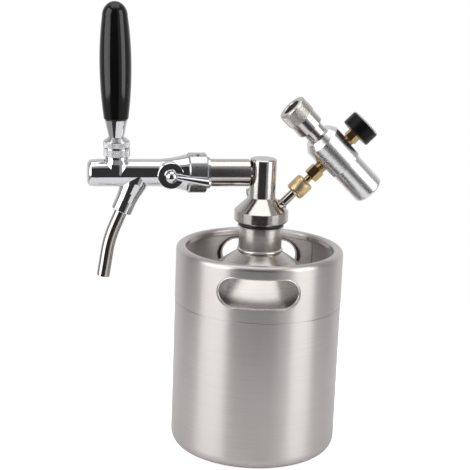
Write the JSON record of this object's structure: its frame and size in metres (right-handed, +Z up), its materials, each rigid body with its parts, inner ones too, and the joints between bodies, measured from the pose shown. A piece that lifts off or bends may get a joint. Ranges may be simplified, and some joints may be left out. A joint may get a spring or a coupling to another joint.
{
  "type": "mini beer keg with dispensing tap",
  "caption": "Small stainless beer keg with hand slots, a screw-in head, a chrome tap with black handle and flow lever, and a gas regulator with gauge.",
  "frame": {"origin": "centre of the keg's base ring, on the surface it stands on", "axes": "+Z up along the keg's axis; the tap points along -X and the gas branch rises along +X; +Y is to the left of someone facing the spout"},
  "size_m": [0.2385, 0.136, 0.3636],
  "materials": {
    "stainless": "satin brushed",
    "polished_steel": "turned and polished",
    "tube_steel": "drawn tube",
    "spring_steel": "drawn wire",
    "chrome": "mirror chrome plate",
    "satin_chrome": "satin chrome plate",
    "inner_steel": "turned",
    "grip_black": "gloss moulded",
    "satin_brass": "satin turned",
    "bright_brass": "bright turned",
    "aluminium": "turned, clear anodised",
    "satin_steel": "satin",
    "piston_brass": "turned",
    "rubber": "moulded",
    "nylon": "moulded",
    "gauge_black": "moulded",
    "gauge_clear": "clear moulded",
    "dial_white": "printed",
    "needle_red": "painted"
  },
  "bodies": {
    "keg": {"keg_barrel": "stainless", "keg_shoulder": "stainless", "keg_chime": "stainless", "keg_neck": "stainless"},
    "neck_seal": {"neck_seal": "rubber"},
    "head": {"head_body": "polished_steel", "dip_tube": "tube_steel", "dip_tube_seal": "rubber", "gas_stub": "polished_steel", "relief_body": "polished_steel", "relief_spring": "spring_steel", "shank": "polished_steel", "shank_ring": "satin_chrome", "shank_gasket": "rubber", "faucet_body": "chrome", "spout_tube": "tube_steel", "spout_seal": "rubber", "ball_washer": "nylon", "friction_washer": "nylon", "bonnet_nut": "satin_chrome", "flow_gland": "nylon"},
    "relief_pin": {"relief_pin": "polished_steel"},
    "coupling_nut": {"coupling_nut": "satin_chrome"},
    "handle": {"tap_lever": "inner_steel", "lever_collar": "satin_chrome", "handle_ferrule": "chrome", "handle_grip": "grip_black"},
    "plunger": {"plunger_shaft": "inner_steel", "seat_washer": "rubber", "plunger_nut": "inner_steel"},
    "flow_control": {"flow_spindle": "inner_steel", "flow_seal": "rubber", "flow_lever": "chrome"},
    "regulator": {"regulator_body": "aluminium", "inlet_stem": "satin_steel", "cartridge_collar": "satin_steel", "cartridge_seal": "rubber", "piercing_pin": "spring_steel", "valve_spring": "spring_steel", "knob_ring": "spring_steel", "hex_fitting": "bright_brass", "gauge_stem": "bright_brass", "gauge_case": "gauge_black", "bourdon_tube": "bright_brass", "gauge_dial": "dial_white", "gauge_lens": "gauge_clear", "main_spring": "spring_steel"},
    "swivel_nut": {"swivel_nut": "satin_brass"},
    "pressure_knob": {"pressure_knob": "aluminium"},
    "spring_pusher": {"spring_pusher": "piston_brass"},
    "piston": {"regulator_piston": "piston_brass", "piston_seal": "rubber"},
    "valve_poppet": {"valve_poppet": "spring_steel"},
    "gauge_needle": {"gauge_needle": "needle_red"}
  },
  "joints": [
    {"name": "head_lift", "type": "slide", "parent": "keg", "child": "neck_seal", "axis": [0, 0, 1], "range_m": [0, 0.2]},
    {"name": "head_turn", "type": "hinge", "parent": "neck_seal", "child": "head", "pos_m": [0, 0, 0.1901], "axis": [0, 0, 1], "continuous": true},
    {"name": "relief_pull", "type": "slide", "parent": "head", "child": "relief_pin", "axis": [-0.183, 0.683, 0.7071], "range_m": [0, 0.002], "stiffness_N_per_m": 600, "springref_m": -0.002, "deforming": ["relief_spring"]},
    {"name": "coupling_nut_turn", "type": "hinge", "parent": "head", "child": "coupling_nut", "pos_m": [-0.054, 0, 0.2297], "axis": [-1, 0, 0], "continuous": true},
    {"name": "handle_pull", "type": "hinge", "parent": "head", "child": "handle", "pos_m": [-0.118, 0, 0.24], "axis": [0, -1, 0], "range_deg": [0, 25]},
    {"name": "plunger_stroke", "type": "slide", "parent": "head", "child": "plunger", "axis": [1, 0, 0], "range_m": [0, 0.0045]},
    {"name": "flow_lever_turn", "type": "hinge", "parent": "head", "child": "flow_control", "pos_m": [-0.0765, 0, 0.2297], "axis": [0, -1, 0], "range_deg": [0, 90]},
    {"name": "regulator_swivel", "type": "hinge", "parent": "head", "child": "regulator", "pos_m": [0.05828, 0, 0.24555], "axis": [0.7071, 0, 0.7071], "continuous": true},
    {"name": "swivel_nut_turn", "type": "hinge", "parent": "regulator", "child": "swivel_nut", "pos_m": [0.03077, 0, 0.21804], "axis": [0.7071, 0, 0.7071], "continuous": true},
    {"name": "pressure_knob_turn", "type": "hinge", "parent": "regulator", "child": "pressure_knob", "pos_m": [0.07801, 0, 0.22582], "axis": [-0.7071, 0, 0.7071], "range_deg": [0, 1080]},
    {"name": "pusher_travel", "type": "slide", "parent": "regulator", "child": "spring_pusher", "axis": [-0.7071, 0, 0.7071], "range_m": [0, 0.00385], "deforming": ["main_spring"]},
    {"name": "piston_stroke", "type": "slide", "parent": "regulator", "child": "piston", "axis": [-0.7071, 0, 0.7071], "range_m": [0, 0.0008], "stiffness_N_per_m": 2500, "springref_m": -0.002},
    {"name": "poppet_lift", "type": "slide", "parent": "regulator", "child": "valve_poppet", "axis": [-0.7071, 0, 0.7071], "range_m": [0, 0.0009], "deforming": ["valve_spring"]},
    {"name": "needle_turn", "type": "hinge", "parent": "regulator", "child": "gauge_needle", "pos_m": [0.08091, 0, 0.26818], "axis": [-0.7071, 0, -0.7071], "range_deg": [0, 270]}
  ],
  "couplings": [
    {"joint": "plunger_stroke", "follows": "handle_pull", "m_per_rad": 0.009976},
    {"joint": "pusher_travel", "follows": "pressure_knob_turn", "m_per_rad": 0.00019894},
    {"joint": "poppet_lift", "follows": "piston_stroke", "ratio": 1}
  ]
}
